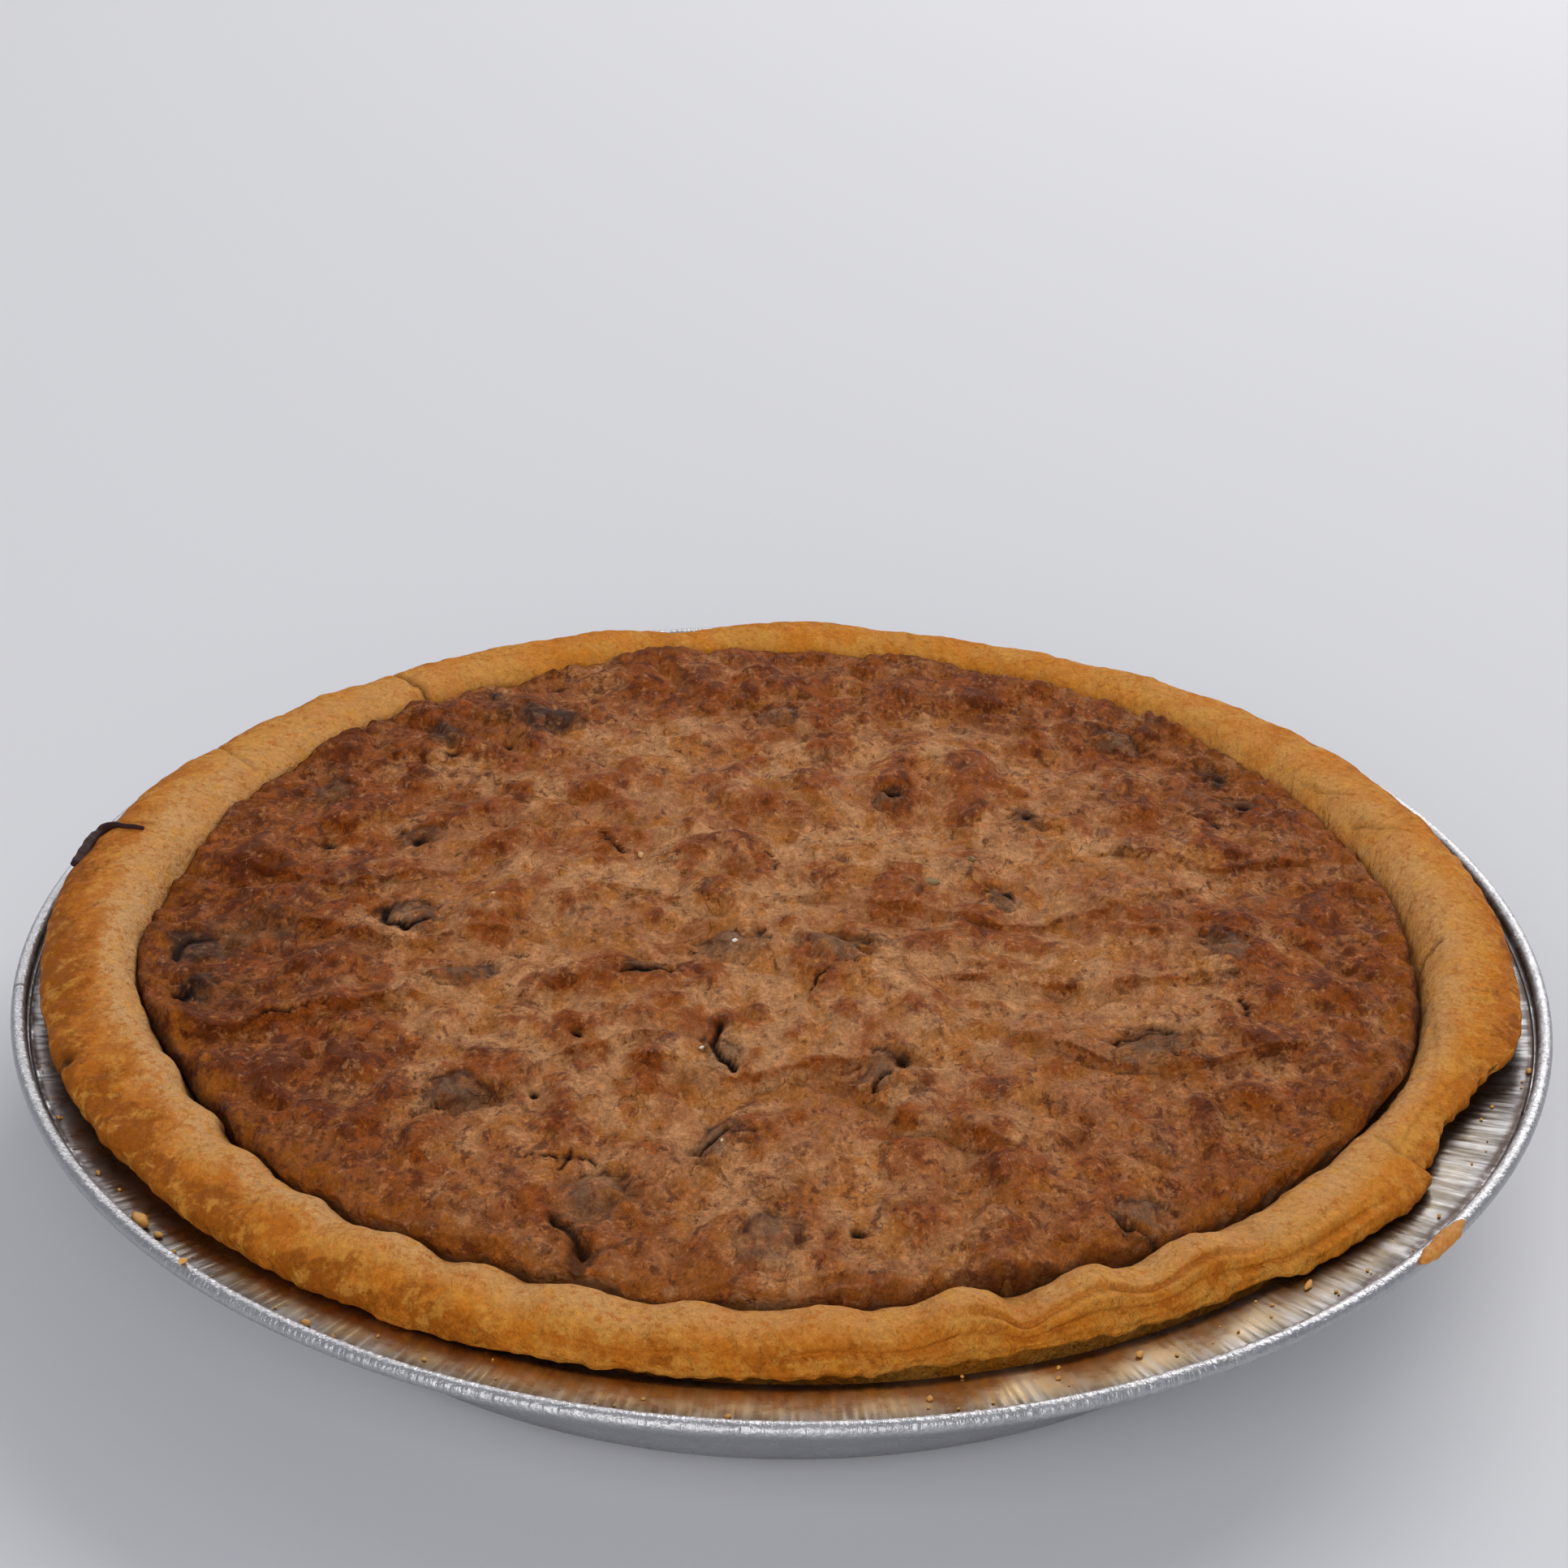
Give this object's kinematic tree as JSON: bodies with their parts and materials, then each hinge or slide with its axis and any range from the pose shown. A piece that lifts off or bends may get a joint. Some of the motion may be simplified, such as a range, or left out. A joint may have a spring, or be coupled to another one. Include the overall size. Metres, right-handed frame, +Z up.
{
  "type": "chocolate-chip cookie pie in a foil tin",
  "caption": "Whole round cookie pie: lumpy baked chocolate-chip filling in a golden hand-pinched pastry case, resting in its disposable foil tin with a rolled edge.",
  "frame": {"origin": "middle of the tin's flat base, on the surface it stands on", "axes": "+Z up through the pie; -Y towards the pictured front of the pie; +X to the picture's right"},
  "size_m": [0.245, 0.245, 0.0402],
  "materials": {
    "foil": "thin bright aluminium foil with a fine pleated flange and a satin rolled edge",
    "pastry": "dry baked shortcrust pastry, golden with browner patches, no shine",
    "cookie": "dry crackled cookie crust, red-brown with a paler middle and dark chocolate chips"
  },
  "bodies": {
    "root": {"foil_tin": "foil", "pie_crust": "pastry", "cookie_filling": "cookie"}
  },
  "joints": []
}
